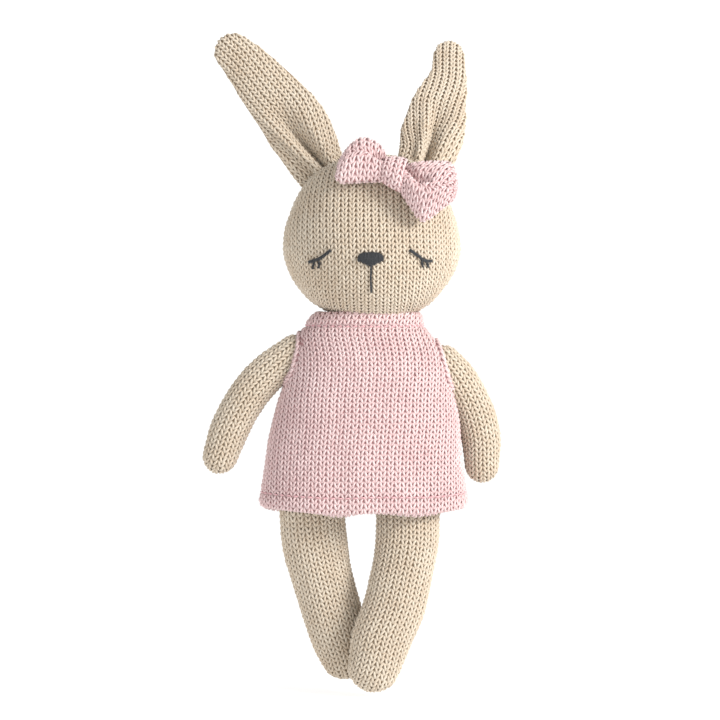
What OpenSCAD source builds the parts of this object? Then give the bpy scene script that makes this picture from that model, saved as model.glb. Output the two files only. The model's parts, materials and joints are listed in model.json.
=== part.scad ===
// Stuffed knit bunny in an A-line dress, standing, facing -Y, with +X on its left hand side.
// Soft pieces are closed or open-ended solids of the cover's thickness, filled with their stuffing.

/* [Head] */
// Half of the head's width
head_r = 48.4; // [44:0.2:52]
// Height of the head's widest line above the floor
head_z = 243; // [241:0.5:246]
// Height from the widest line to the crown
crown_h = 52; // [48:0.5:54]
// Depth from the widest line down to the middle of the chin
chin_h = 36; // [35:0.5:36.5]
// Head's depth as a share of its width
head_flat = 0.82; // [0.78:0.01:0.86]

/* [Body] */
// Half of the torso's width at the waist
torso_r = 45; // [42:0.5:46]
// Half of the torso's depth
torso_d = 22; // [20:0.5:22.5]
// Sideways place of the hips
hip_x = 4.2; // [2:0.1:5]
// Sideways place of the neck
neck_x = 10.2; // [9.6:0.1:10.6]
// Radius of the gathered neck
neck_r = 18.5; // [17:0.1:19]

/* [Arms] */
// Radius of an arm at the shoulder
arm_r = 9.2; // [8.6:0.1:9.4]
// Length of the right arm, shoulder to hand
right_arm_len = 72; // [66:1:76]
// Length of the left arm, shoulder to hand
left_arm_len = 71; // [62:1:72]

/* [Legs] */
// Radius of a leg at the hip
leg_r = 18; // [17:0.1:18.2]
// Length of a leg from the hip to the middle of the toes
leg_len = 101; // [98:0.5:102]
// Share of a leg's width that is its depth
leg_flat = 0.84; // [0.8:0.01:0.86]
// How far each foot is shifted forwards or back so that one lies over the other
foot_cross = 11.5; // [11.5:0.1:13]

/* [Ears] */
// Length of the right ear
right_ear_len = 87; // [84:1:92]
// Length of the left ear
left_ear_len = 79.5; // [76:0.5:84]
// Half of an ear's greatest width
ear_w = 17; // [15:0.5:18]
// Half of an ear's thickness
ear_t = 4; // [3.6:0.1:4.2]

/* [Dress] */
// Thickness of the knit
knit = 2; // [1.8:0.1:2.2]
// Half of the hem's width
hem_r = 57; // [55:0.5:59]
// Half of the hem's depth
hem_d = 31; // [30:0.5:33]
// Height of the hem above the floor
hem_z = 100.5; // [98:0.5:102]
// Height of the neck band
collar_h = 6.5; // [6:0.5:6.5]
// Distance from the middle of the toy to the flat of the dress's back
dress_back = 25; // [24.8:0.1:26]

/* [Bow] */
// Width of the bow
bow_w = 66; // [60:1:70]
// Half of a loop's height at its end
bow_r = 13.5; // [12:0.5:14.5]
// Tilt of the bow
bow_tilt = 14; // [10:1:18]

/* [Hidden] */

beige = "#d9c8ab";
fibre = "#f4f2ec";
pink = "#f3ccd0";
rose = "#e3a3ab";
charcoal = "#2e3238";

// [x, y, z] directions and the even clearance between sewn pieces
back = [0, 1, 0];
gap = 0.35;
stuffing_gap = 0.45;
thread_r = 0.7;

// Joints of the toy
hip_z = 108;
hip_spread = 27.2;
left_hip = [hip_x + hip_spread, 0, hip_z];
right_hip = [hip_x - hip_spread, 0, hip_z];
left_shoulder = [51, 0, 184.5];
right_shoulder = [-32, 0, 188];
neck_z = 204;
torso_top = neck_z - 1;
torso_bottom = hip_z + leg_r + 0.5;
skirt_top = torso_bottom + 2;
collar_z = 203;
head_x = neck_x + 0.4;

// ---- Soft forms -------------------------------------------------------------------------
// A station is [centre, half width, half depth, direction along the form].

function unit(v) = v / norm(v);

// Ring of points round a station: across the form, then towards the back
function ring(s, n) =
    let (u = unit(cross(back, s[3])), v = cross(s[3], u))
    [for (i = [0 : n - 1]) s[0] + s[1] * cos(360 * i / n) * u + s[2] * sin(360 * i / n) * v];

function flat(lists) = [for (l = lists) for (p = l) p];

// Two triangles for each side of the wall between ring j and ring k
function wall(j, k, n) = [for (i = [0 : n - 1]) let (m = (i + 1) % n)
    each [[j * n + i, k * n + i, k * n + m], [j * n + i, k * n + m, j * n + m]]];

function fan_below(j, pole, n) = [for (i = [0 : n - 1]) [pole, j * n + i, j * n + (i + 1) % n]];
function fan_above(j, pole, n) = [for (i = [0 : n - 1]) [pole, j * n + (i + 1) % n, j * n + i]];

// Closed form through the stations, with a flat face at each end
module soft_form(stations, n = 20) {
    count = len(stations);
    points = concat(flat([for (s = stations) ring(s, n)]), [stations[0][0], stations[count - 1][0]]);
    faces = concat(
        flat([for (j = [0 : count - 2]) wall(j, j + 1, n)]),
        fan_below(0, count * n, n),
        fan_above(count - 1, count * n + 1, n));
    polyhedron(points, faces, convexity = 6);
}

// Cover of the same form, open at its first station and closed at its last
module cover(outer, inner, n = 20) {
    count = len(outer);
    rings = concat(outer, inner);
    points = concat(flat([for (s = rings) ring(s, n)]), [outer[count - 1][0], inner[count - 1][0]]);
    faces = concat(
        flat([for (j = [0 : count - 2]) wall(j, j + 1, n)]),
        fan_above(count - 1, 2 * count * n, n),
        flat([for (j = [0 : count - 2]) wall(count + j + 1, count + j, n)]),
        fan_below(2 * count - 1, 2 * count * n + 1, n),
        wall(count, 0, n));
    polyhedron(points, faces, convexity = 8);
}

// Tube of cloth, open at both ends, with its back kept in front of a flat plane
module sleeve(outer, inner, n = 32, flat_y = 1000) {
    count = len(outer);
    outside = [for (s = outer) [for (p = ring(s, n)) [p[0], min(p[1], flat_y), p[2]]]];
    inside = [for (j = [count - 1 : -1 : 0])
        [for (p = ring(inner[j], n)) [p[0], min(p[1], flat_y - knit), p[2]]]];
    faces = flat([for (j = [0 : 2 * count - 1]) wall(j, (j + 1) % (2 * count), n)]);
    polyhedron(flat(concat(outside, inside)), faces, convexity = 8);
}

// Value of a list at a share 0..1 of its length, in straight steps
function at(list, share) = lookup(share, [for (i = [0 : len(list) - 1]) [i / (len(list) - 1), list[i]]]);

// Direction in the front view, turned from straight up towards +X, leaning back by its y share
function heading(turn, lean) = unit([sin(turn), lean, cos(turn)]);

// Point at a share of an arc that starts at a pivot and turns from one heading to another
function along(pivot, turns, length, lean, share, steps = 24) =
    share <= 0 ? pivot :
    pivot + length * share / steps * total([for (i = [0 : steps - 1])
        heading(turns[0] + (turns[1] - turns[0]) * share * (i + 0.5) / steps, lean)]);
function total(list, i = 0) = i >= len(list) ? [0, 0, 0] : list[i] + total(list, i + 1);

// Stations of a limb: a round end at the pivot, its tapering length and a round tip
function limb(pivot, turns, length, lean, radii, depth, tip, inset = 0, open = 48, rings = 7) =
    let (first = heading(turns[0], lean), last = heading(turns[1], lean), r0 = radii[0] - inset,
         r1 = at(radii, 1) - inset, end = along(pivot, turns, length, lean, 1))
    concat(
        [for (a = [open, open / 2]) [pivot - first * r0 * sin(a), r0 * cos(a), (r0 + inset) * cos(a) * depth
            - inset * cos(a), first]],
        [for (i = [0 : rings]) let (s = i / rings, r = at(radii, s),
            dir = heading(turns[0] + (turns[1] - turns[0]) * s, lean))
            [along(pivot, turns, length, lean, s), r - inset, r * depth - inset, dir]],
        [for (a = [28, 54, 76]) [end + last * (r1 * tip) * sin(a), r1 * cos(a),
            (at(radii, 1) * depth - inset) * cos(a), last]]);

// ---- Torso ------------------------------------------------------------------------------

// Half widths of the torso, from its foot to the neck, as [height, width, depth]
torso_rows = [
    [torso_bottom, torso_r * 0.82, torso_d * 0.72], [torso_bottom + 3, torso_r * 0.95, torso_d * 0.9],
    [torso_bottom + 10, torso_r, torso_d], [torso_bottom + 26, torso_r - 4, torso_d],
    [168, torso_r - 10.5, torso_d - 0.5], [181, 30.2, torso_d - 1.5], [191, 29.4, torso_d - 2.2],
    [197, 26, 18.8], [torso_top, neck_r, neck_r - 2]];

function body_x(z) = hip_x + (neck_x - hip_x) * max(0, min(1, (z - hip_z) / (neck_z - hip_z)));

function torso_stations(inset) = [for (i = [len(torso_rows) - 1 : -1 : 0])
    let (r = torso_rows[i], z = r[0] + (i == 0 ? inset : i == 1 ? inset * 0.6 : 0))
    [[body_x(r[0]), 0, z], r[1] - inset, r[2] - inset, [0, 0, -1]]];

module torso_skin() {
    color(beige) cover(torso_stations(0), torso_stations(knit));
}

module torso_stuffing() {
    color(fibre) soft_form(torso_stations(knit + stuffing_gap));
}

module neck_thread() {
    color(beige) translate([neck_x, 0, neck_z]) rotate_extrude($fn = 40)
        translate([neck_r - 2, 0]) circle(r = thread_r - 0.1, $fn = 14);
}

// Hand-sewn ring of thread round the joint between the torso and a limb's round end
module seam_ring(pivot, outward, limb_radius, ring_radius) {
    reach = limb_radius + thread_r + 0.2;
    color(beige) translate(pivot - outward * sqrt(reach * reach - ring_radius * ring_radius))
        rotate([0, outward[0] == 0 ? 0 : 90, 0]) rotate_extrude($fn = 32)
            translate([ring_radius, 0]) circle(r = thread_r, $fn = 14);
}

module left_shoulder_seam() { seam_ring(left_shoulder, [1, 0, 0], arm_r, 6.2); }
module right_shoulder_seam() { seam_ring(right_shoulder, [-1, 0, 0], arm_r, 6.2); }
module left_hip_seam() { seam_ring(left_hip, [0, 0, -1], leg_r, 7.5); }
module right_hip_seam() { seam_ring(right_hip, [0, 0, -1], leg_r, 7.5); }

// ---- Dress ------------------------------------------------------------------------------

// Half widths of the dress, as [height, width, depth]
skirt_rows = [
    [hem_z, hem_r - 1.5, hem_d - 0.5], [hem_z + 3, hem_r, hem_d], [hem_z + 14, hem_r - 1.6, hem_d - 0.4],
    [skirt_top - gap, hem_r - 3.4, hem_d - 1]];
bodice_rows = [
    [skirt_top, hem_r - 3.4, hem_d - 1], [145, hem_r - 5, hem_d - 1.6], [157, hem_r - 6.8, hem_d - 2],
    [170, 46.8, 28.4], [180, 44.4, 27], [190, 41.8, 25.8], [196, 38.6, 25], [200, 34.2, 24.6],
    [collar_z - gap, 29.6, 24.4]];
collar_rows = [
    [collar_z, 29.4, 24.4], [collar_z + collar_h * 0.5, 28.2, 24.2], [collar_z + collar_h, 27.6, 23.6]];

function dress_stations(rows, inset) = [for (r = rows)
    [[body_x(r[0]), 0, r[0]], r[1] - inset, r[2] - inset, [0, 0, 1]]];

// An armhole is an upright slot with round ends, its upper end round the shoulder
armhole_r = 12;
armhole_drop = 10;
armhole_shift = 0.8;
edge_r = 0.9;

module armhole(pivot) {
    translate(pivot) for (z = [0, -armhole_drop]) translate([0, armhole_shift, z])
        rotate([0, 90, 0]) cylinder(r = armhole_r, h = 44, center = true, $fn = 40);
    translate(pivot + [-22, armhole_shift - armhole_r, -armhole_drop])
        cube([44, 2 * armhole_r, armhole_drop]);
}

module dress_bodice() {
    color(pink) difference() {
        sleeve(dress_stations(bodice_rows, 0), dress_stations(bodice_rows, knit), 32, dress_back);
        armhole(left_shoulder);
        armhole(right_shoulder);
    }
}

module dress_skirt() {
    color(pink) sleeve(dress_stations(skirt_rows, 0), dress_stations(skirt_rows, knit), 32, dress_back);
}

module dress_collar() {
    color(pink) sleeve(dress_stations(collar_rows, 0), dress_stations(collar_rows, knit));
}

// Line of stitching that holds the turned hem, laid on the outside of the skirt
hem_turned = 7;
hem_line = 0.9;

module hem_thread() {
    z = hem_z + hem_turned;
    low = skirt_rows[1];
    high = skirt_rows[2];
    share = (z - low[0]) / (high[0] - low[0]);
    w = low[1] + (high[1] - low[1]) * share + gap + 0.1;
    d = low[2] + (high[2] - low[2]) * share + gap + 0.1;
    rows = [[z - hem_line / 2, w, d], [z + hem_line / 2, w, d]];
    color(rose) intersection() {
        sleeve(dress_stations(rows, -0.7), dress_stations(rows, 0));
        translate([-100, -100, 0]) cube([200, 100 + dress_back - 2, 200]);
    }
}

// Rolled edge round an armhole, just clear of the cut edge of the dress and of the arm
module armhole_edge(pivot, side) {
    r = armhole_r - edge_r - 0.1;
    color(pink) translate(pivot + [-3 * side, armhole_shift, 0]) {
        for (end = [0, 1]) translate([0, 0, -armhole_drop * end]) rotate([0, 90, 0])
            rotate([0, 0, 90 + 180 * end]) rotate_extrude(angle = 180, $fn = 40)
                translate([r, 0]) circle(r = edge_r, $fn = 14);
        for (y = [-r, r]) translate([0, y, -armhole_drop])
            cylinder(r = edge_r, h = armhole_drop, $fn = 14);
    }
}

module left_armhole_edge() { armhole_edge(left_shoulder, 1); }
module right_armhole_edge() { armhole_edge(right_shoulder, -1); }

// ---- Head -------------------------------------------------------------------------------

// Angles of the head's rows, from the neck up over the widest line to the crown
head_angles = [-65, -57, -48, -36, -24, -12, 0, 14, 28, 42, 56, 68, 79];
neck_band_z = neck_z + 1;

function head_depth(r) = r * (head_flat + (1 - head_flat) * max(0, 1 - r / head_r));

function head_stations(inset) = concat(
    [[[head_x, 0, neck_band_z + inset * 0.1], neck_r - inset, neck_r - inset, [0, 0, 1]]],
    [for (a = head_angles) let (h = a < 0 ? chin_h : crown_h, r = head_r * cos(a))
        [[head_x, 0, head_z + (h - inset) * sin(a)], r - inset * min(1, cos(a) + 0.35),
         head_depth(r) - inset * min(1, cos(a) + 0.35), [0, 0, 1]]]);

module head_skin() {
    color(beige) cover(head_stations(0), head_stations(knit), 28);
}

module head_stuffing() {
    color(fibre) soft_form(head_stations(knit + stuffing_gap), 28);
}

// Distance from the middle of the head to its front, at a height and a place across
function face_y(x, z) =
    let (h = z < head_z ? chin_h : crown_h, r = head_r * sqrt(1 - pow((z - head_z) / h, 2)))
    -head_depth(r) * sqrt(max(0, 1 - pow(x / r, 2)));

// Short thread along the face between two places, [across, height], both on the skin
module face_stitch(from, to, w = 0.8) {
    a = [head_x + from[0], face_y(from[0], from[1]) - w, from[1]];
    b = [head_x + to[0], face_y(to[0], to[1]) - w, to[1]];
    d = b - a;
    turn_z = atan2(d[1], d[0]);
    turn_y = acos(d[2] / norm(d));
    translate(a) rotate([0, turn_y, turn_z]) cylinder(r = w, h = norm(d), $fn = 16);
}

// Closed eyelid: an arc of satin stitch that drops towards the side of the face
eye_places = [[21, 245.2], [24.4, 244.2], [27.5, 242.6], [30.4, 240.9], [33, 239.4]];
eyelid_r = 0.8;

module eyelid(side) {
    last = len(eye_places) - 1;
    line = [for (p = eye_places) [head_x + p[0] * side, face_y(p[0] * side, p[1]) - eyelid_r, p[1]]];
    color(charcoal) soft_form([for (i = [0 : last])
        [line[i], eyelid_r, eyelid_r, unit(line[min(i + 1, last)] - line[max(i - 1, 0)])]], 12);
}

// Three lashes below the outer end of the eyelid
lashes = [[[28.5, 240.3], [27.9, 236.6]], [[30.5, 239.1], [30.6, 235.4]], [[32.6, 237.8], [33.3, 235]]];

module eyelashes(side) {
    color(charcoal) for (l = lashes)
        face_stitch([l[0][0] * side, l[0][1]], [l[1][0] * side, l[1][1]], 0.55);
}

module left_eyelid() { eyelid(1); }
module right_eyelid() { eyelid(-1); }
module left_eyelashes() { eyelashes(1); }
module right_eyelashes() { eyelashes(-1); }

nose_z = 239.6;
nose_w = 7;
nose_h = 3.9;

// Padded satin-stitch nose: a flattened oval that comes to a blunt point below
module nose_embroidery() {
    y = face_y(0, nose_z);
    color(charcoal) translate([head_x, y + 0.6, nose_z]) rotate([90, 0, 0])
        linear_extrude(height = 1.7) polygon([for (i = [0 : 23]) let (a = 15 * i)
            [nose_w * cos(a), nose_h * sin(a) * (a > 180 ? 1.05 - 0.2 * cos(2 * a) : 0.85)]]);
}

module mouth_stitch() {
    color(charcoal) {
        face_stitch([0, nose_z - 5.4], [0.3, nose_z - 11], 0.6);
        face_stitch([0.3, nose_z - 11], [0.6, nose_z - 17.4], 0.6);
    }
}

// ---- Ears -------------------------------------------------------------------------------

// An ear stands off the crown by its own half thickness, and turns about the line of its seam
ear_tip = 9;
right_ear_foot = [-18.3, 1, 292.4];
left_ear_foot = [40.4, 6, 295.6];
right_ear_turns = [-33, -41];
left_ear_turns = [10, 12];
right_ear_lean = 0.08;
left_ear_lean = 0.564;
right_ear_shape = [0.76, 1, 1, 0.97, 0.9, 0.84, 0.76, 0.64];
left_ear_shape = [0.86, 0.99, 0.96, 0.9, 0.8, 0.7, 0.6, 0.5];

function ear_stations(foot, turns, length, lean, shape, inset) =
    let (first = heading(turns[0], lean), last = heading(turns[1], lean), body = length - ear_tip,
         t = ear_t - inset, end = along(foot, turns, body, lean, 1), w0 = ear_w * shape[0] - inset,
         w1 = ear_w * at(shape, 1) - inset)
    concat(
        [for (a = [62, 32]) [foot - first * t * sin(a), w0 - (ear_t - t * cos(a)) * 0.6,
            t * cos(a), first]],
        [for (i = [0 : 8]) let (s = i / 8)
            [along(foot, turns, body, lean, s), ear_w * at(shape, s) - inset, t,
             heading(turns[0] + (turns[1] - turns[0]) * s, lean)]],
        [for (a = [30, 56, 76]) [end + last * (ear_tip - inset) * sin(a), w1 * cos(a), t * cos(a), last]]);

function left_ear(inset) =
    ear_stations(left_ear_foot, left_ear_turns, left_ear_len, left_ear_lean, left_ear_shape, inset);
function right_ear(inset) =
    ear_stations(right_ear_foot, right_ear_turns, right_ear_len, right_ear_lean, right_ear_shape, inset);
ear_knit = knit * 0.8;

module left_ear_skin() { color(beige) cover(left_ear(0), left_ear(ear_knit)); }
module left_ear_wadding() { color(fibre) soft_form(left_ear(ear_knit + stuffing_gap)); }
module right_ear_skin() { color(beige) cover(right_ear(0), right_ear(ear_knit)); }
module right_ear_wadding() { color(fibre) soft_form(right_ear(ear_knit + stuffing_gap)); }

// Row of short stitches under the foot of an ear, just clear of the crown
module ear_seam(foot, turn, count = 4) {
    color(beige) translate(foot) rotate([0, turn, 0]) for (i = [0 : count - 1], side = [-1, 1])
        translate([(i - (count - 1) / 2) * 5, side * (ear_t + 1.1), -3.2]) rotate([0, 90, 0])
            cylinder(r = 0.5, h = 3, center = true, $fn = 14);
}

module left_ear_seam() { ear_seam(left_ear_foot, left_ear_turns[0]); }
module right_ear_seam() { ear_seam(right_ear_foot, right_ear_turns[0]); }

// ---- Bow --------------------------------------------------------------------------------

bow_at = [23, -36, 284.4];
bow_pinch = 5;
bow_t = 6.6;
bow_lean = 24;
bow_tack_start = 8.9;
bow_tack_len = 3.6;

module bow_frame() {
    translate(bow_at) rotate([-bow_lean, 0, 0]) rotate([0, bow_tilt, 0]) children();
}

// Places along the folded strip as [share of half the width, half height, half thickness]
bow_rows = [[0.1, bow_pinch, 4.2], [0.28, bow_pinch + 2.4, 5], [0.55, bow_r * 0.78, bow_t],
    [0.8, bow_r * 0.96, bow_t], [0.94, bow_r, 5.4], [1, bow_r * 0.93, 3]];

function bow_stations() = concat(
    [for (i = [len(bow_rows) - 1 : -1 : 0]) let (r = bow_rows[i])
        [[-bow_w / 2 * r[0], 0, 0], r[1], r[2], [1, 0, 0]]],
    [for (r = bow_rows) [[bow_w / 2 * r[0], 0, 0], r[1], r[2], [1, 0, 0]]]);

module bow_ribbon() {
    color(pink) bow_frame() soft_form(bow_stations(), 20);
}

// Narrow knit band wrapped round the gathered middle
module bow_band() {
    band = [[-5, 0], [-2.5, 0.6], [2.5, 0.6], [5, 0]];
    color(pink) bow_frame() sleeve(
        [for (b = band) [[b[0], 0, 0], bow_pinch + 4.6 + b[1], 4.2 + 4 + b[1], [1, 0, 0]]],
        [for (b = band) [[b[0], 0, 0], bow_pinch + 2.2, 4.2 + 1.6, [1, 0, 0]]], 24);
}

// Tack that holds the back of the bow to the head
module bow_tack_thread() {
    color(pink) bow_frame() translate([0, bow_tack_start, 0]) rotate([-90, 0, 0])
        cylinder(r = 1, h = bow_tack_len, $fn = 16);
}

// ---- Arms -------------------------------------------------------------------------------

// Turns are measured from straight up towards +X
left_arm_turns = [134, 183];
right_arm_turns = [-122.3, -165.6];
arm_radii = [arm_r, arm_r - 0.1, arm_r, arm_r + 0.2, arm_r, arm_r - 0.4];
left_arm_lean = 0.16;
right_arm_lean = 0.04;
arm_depth = 0.94;

function left_arm(inset) = limb(left_shoulder, left_arm_turns, left_arm_len - arm_r, left_arm_lean,
    arm_radii, arm_depth, 0.95, inset);
function right_arm(inset) = limb(right_shoulder, right_arm_turns, right_arm_len, right_arm_lean,
    arm_radii, arm_depth, 0.95, inset);

module left_arm_skin() { color(beige) cover(left_arm(0), left_arm(knit), 18); }
module left_arm_stuffing() { color(fibre) soft_form(left_arm(knit + stuffing_gap), 18); }
module right_arm_skin() { color(beige) cover(right_arm(0), right_arm(knit), 18); }
module right_arm_stuffing() { color(fibre) soft_form(right_arm(knit + stuffing_gap), 18); }

// ---- Legs -------------------------------------------------------------------------------

left_leg_turns = [-179, -157];
right_leg_turns = [177, 156.5];
left_leg_radii = [leg_r, leg_r - 0.5, leg_r - 1.2, leg_r - 1.7, leg_r - 2, leg_r - 2.9, leg_r - 5.4];
right_leg_radii = [leg_r, leg_r - 0.5, leg_r - 1.3, leg_r - 2.2, leg_r - 3, leg_r - 4, leg_r - 6];

function leg(hip, turns, lean, radii, inset) =
    limb(hip, turns, leg_len, lean, radii, leg_flat, 0.8, inset, 46, 8);
function left_leg(inset) =
    leg(left_hip, left_leg_turns, -foot_cross / leg_len, left_leg_radii, inset);
function right_leg(inset) =
    leg(right_hip, right_leg_turns, foot_cross / leg_len, right_leg_radii, inset);

module left_leg_skin() { color(beige) cover(left_leg(0), left_leg(knit)); }
module left_leg_stuffing() { color(fibre) soft_form(left_leg(knit + stuffing_gap), 16); }
module right_leg_skin() { color(beige) cover(right_leg(0), right_leg(knit)); }
module right_leg_stuffing() { color(fibre) soft_form(right_leg(knit + stuffing_gap), 16); }

// Knit bridge between the tops of the legs; the toy bends about its middle line when it sits
gusset_r = 9;

module seat_gusset() {
    reach = hip_spread - leg_r - 2 * gap;
    color(beige) translate([hip_x, 0, hip_z]) rotate([0, 90, 0])
        cylinder(r = gusset_r, h = 2 * reach, center = true, $fn = 48);
}

torso_skin();
torso_stuffing();
neck_thread();
dress_bodice();
dress_skirt();
dress_collar();
hem_thread();
left_armhole_edge();
right_armhole_edge();
left_shoulder_seam();
right_shoulder_seam();
left_hip_seam();
right_hip_seam();
head_skin();
head_stuffing();
nose_embroidery();
mouth_stitch();
left_eyelid();
right_eyelid();
left_eyelashes();
right_eyelashes();
bow_ribbon();
bow_band();
bow_tack_thread();
left_ear_seam();
right_ear_seam();
left_ear_skin();
left_ear_wadding();
right_ear_skin();
right_ear_wadding();
left_arm_skin();
left_arm_stuffing();
right_arm_skin();
right_arm_stuffing();
seat_gusset();
left_leg_skin();
left_leg_stuffing();
right_leg_skin();
right_leg_stuffing();
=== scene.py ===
import json
import math

import bmesh
import bpy
import numpy as np
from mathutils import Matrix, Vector, noise
from mathutils.bvhtree import BVHTree


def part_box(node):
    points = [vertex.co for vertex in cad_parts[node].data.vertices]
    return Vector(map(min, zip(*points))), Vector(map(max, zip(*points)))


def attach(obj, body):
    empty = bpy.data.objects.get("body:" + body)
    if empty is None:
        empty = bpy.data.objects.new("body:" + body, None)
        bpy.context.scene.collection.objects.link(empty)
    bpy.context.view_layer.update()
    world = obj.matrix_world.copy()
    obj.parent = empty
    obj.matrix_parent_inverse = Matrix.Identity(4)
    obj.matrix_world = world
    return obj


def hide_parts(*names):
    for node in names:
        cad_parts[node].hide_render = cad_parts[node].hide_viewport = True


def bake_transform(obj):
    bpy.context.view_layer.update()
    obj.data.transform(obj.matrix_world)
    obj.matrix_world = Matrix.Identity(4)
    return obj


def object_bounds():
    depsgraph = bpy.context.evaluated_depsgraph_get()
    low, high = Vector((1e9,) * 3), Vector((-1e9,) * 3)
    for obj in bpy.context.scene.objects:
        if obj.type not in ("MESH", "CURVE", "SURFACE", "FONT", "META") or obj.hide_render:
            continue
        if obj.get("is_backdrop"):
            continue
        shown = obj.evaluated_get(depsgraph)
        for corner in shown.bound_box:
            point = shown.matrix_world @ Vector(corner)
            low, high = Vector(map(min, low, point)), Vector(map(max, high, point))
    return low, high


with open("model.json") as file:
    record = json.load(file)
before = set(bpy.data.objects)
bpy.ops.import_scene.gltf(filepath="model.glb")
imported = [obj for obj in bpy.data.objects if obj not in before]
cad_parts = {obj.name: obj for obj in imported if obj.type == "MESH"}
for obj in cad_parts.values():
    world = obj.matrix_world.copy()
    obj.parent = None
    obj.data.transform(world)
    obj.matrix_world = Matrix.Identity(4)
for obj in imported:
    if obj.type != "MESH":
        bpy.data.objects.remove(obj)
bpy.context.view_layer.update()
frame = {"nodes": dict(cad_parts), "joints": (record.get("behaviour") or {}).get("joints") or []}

# Everything below is worked out in millimetres and made into metres when a mesh is written.
MM = 0.001
WALE = 4.1      # width of one V stitch
COURSE = 2.85   # height of one row of stitches
YARN = 0.72     # half the thickness of the yarn
KNIT = 1.4      # how far the stitches stand off the ground of the cloth
INSET = KNIT * 0.85     # how far a cover's ground lies inside the outline its stitches give it

FILL_FRAMES = 20        # how long a cover is blown up
FILL_PRESSURE = 4
FILL_MOST = 0.9         # the most that filling may move a cover

UNEVEN_YARN = 0.07      # share by which one stitch is thicker or thinner than the next
UNEVEN_PLACE = 0.1      # how far a stitch lies out of its wale, and off its cloth
UNEVEN_ROW = 0.13       # how far a stitch lies out of its row
SEAM_TUCK = 2.2         # width beside a seam in which the stitches turn in
SEAM_DEPTH = 0.9        # how deep they turn in
THREAD_END = 0.45       # share of its thickness that a thread keeps where it enters the cloth

joints = {j["name"]: j for j in frame["joints"]}


def pivot(name):
    """Place of a joint, in mm."""
    return np.array(joints[name]["pos_m"], float) / MM


neck = pivot("neck_turn")
hips = pivot("hips_bend")


# ---- Shapes -----------------------------------------------------------------------------

def unit(v):
    return v / np.maximum(np.linalg.norm(v, axis=-1, keepdims=True), 1e-9)


def through(stations, fine=12):
    """Smooth line through the stations, each any number of values."""
    p = np.asarray(stations, float)
    p = np.vstack([2 * p[0] - p[1], p, 2 * p[-1] - p[-2]])
    t = np.linspace(0, 1, fine, endpoint=False)[:, None]
    spans = [0.5 * (2 * b + (c - a) * t + (2 * a - 5 * b + 4 * c - d) * t ** 2
                    + (3 * b - a - 3 * c + d) * t ** 3)
             for a, b, c, d in zip(p, p[1:], p[2:], p[3:])]
    return np.vstack(spans + [p[-2:-1]])


def even_rows(grid, step):
    """The same surface with its rows evenly spaced along it."""
    gone = np.linalg.norm(np.diff(grid, axis=0), axis=2).mean(1)
    far = np.concatenate([[0], np.cumsum(gone)])
    count = max(6, int(round(far[-1] / step)))
    place = np.interp(np.linspace(0, far[-1], count + 1), far, np.arange(len(far)))
    low = np.minimum(place.astype(int), len(far) - 2)
    part = (place - low)[:, None, None]
    return grid[low] * (1 - part) + grid[low + 1] * part


def form(stations, around=72, step=2.2, square=1.0, fine=12):
    """Soft round form. A station is centre x, y, z, half width and half depth, from the foot up."""
    line = through(stations, fine)
    centre, wide, deep = line[:, :3], np.maximum(line[:, 3], 0), np.maximum(line[:, 4], 0)
    way = unit(np.gradient(centre, axis=0))
    side = unit(np.cross([0, 1, 0], way))
    rear = np.cross(way, side)
    turn = np.linspace(-math.pi, math.pi, around + 1)
    across = np.sign(np.sin(turn)) * np.abs(np.sin(turn)) ** square
    off = np.sign(np.cos(turn)) * np.abs(np.cos(turn)) ** square
    grid = (centre[:, None] + wide[:, None, None] * across[None, :, None] * side[:, None]
            - deep[:, None, None] * off[None, :, None] * rear[:, None])
    return even_rows(grid, step)


def facing(grid):
    """Outward direction at each place of a grid whose rows run up and whose columns run to +X at the front."""
    up = np.gradient(grid, axis=0)
    along = np.gradient(grid, axis=1)
    if np.allclose(grid[:, 0], grid[:, -1], atol=1e-6):
        along[:, 0] = along[:, -1] = (grid[:, 1] - grid[:, -2]) / 2
    return unit(np.cross(along, up))


def lumpy(grid, size, amount, seed):
    """Gentle hollows and swellings of hand stuffing."""
    out = facing(grid)
    shift = Vector((seed * 7.3, seed * 3.1, seed * 5.7))
    lift = np.array([[noise.noise(Vector(p) / size + shift) for p in row] for row in grid])
    return grid + out * (lift * amount)[..., None]


def arc(start, turns, length, lean, count):
    """Places along a limb that starts at a joint and turns from one heading to another, seen from the front."""
    steps = 48
    turn = np.radians(turns[0] + (turns[1] - turns[0]) * (np.arange(steps) + 0.5) / steps)
    way = unit(np.stack([np.sin(turn), np.full(steps, lean), np.cos(turn)], 1))
    line = np.vstack([start, start + np.cumsum(way * length / steps, axis=0)])
    share = np.linspace(0, steps, count)
    return np.stack([np.interp(share, np.arange(steps + 1), line[:, k]) for k in range(3)], 1)


def round_end(at, way, half, deep, reach, angles=(0, 30, 55, 75, 90)):
    """Stations of the rounded end of a limb."""
    return [[*(at + way * reach * math.sin(math.radians(a))), half * math.cos(math.radians(a)),
             deep * math.cos(math.radians(a))] for a in angles]


# ---- Meshes -----------------------------------------------------------------------------

def shown(name, mesh, materials):
    made = bpy.data.objects.new(name, mesh)
    bpy.context.scene.collection.objects.link(made)
    for m in materials:
        mesh.materials.append(m)
    return made


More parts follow.
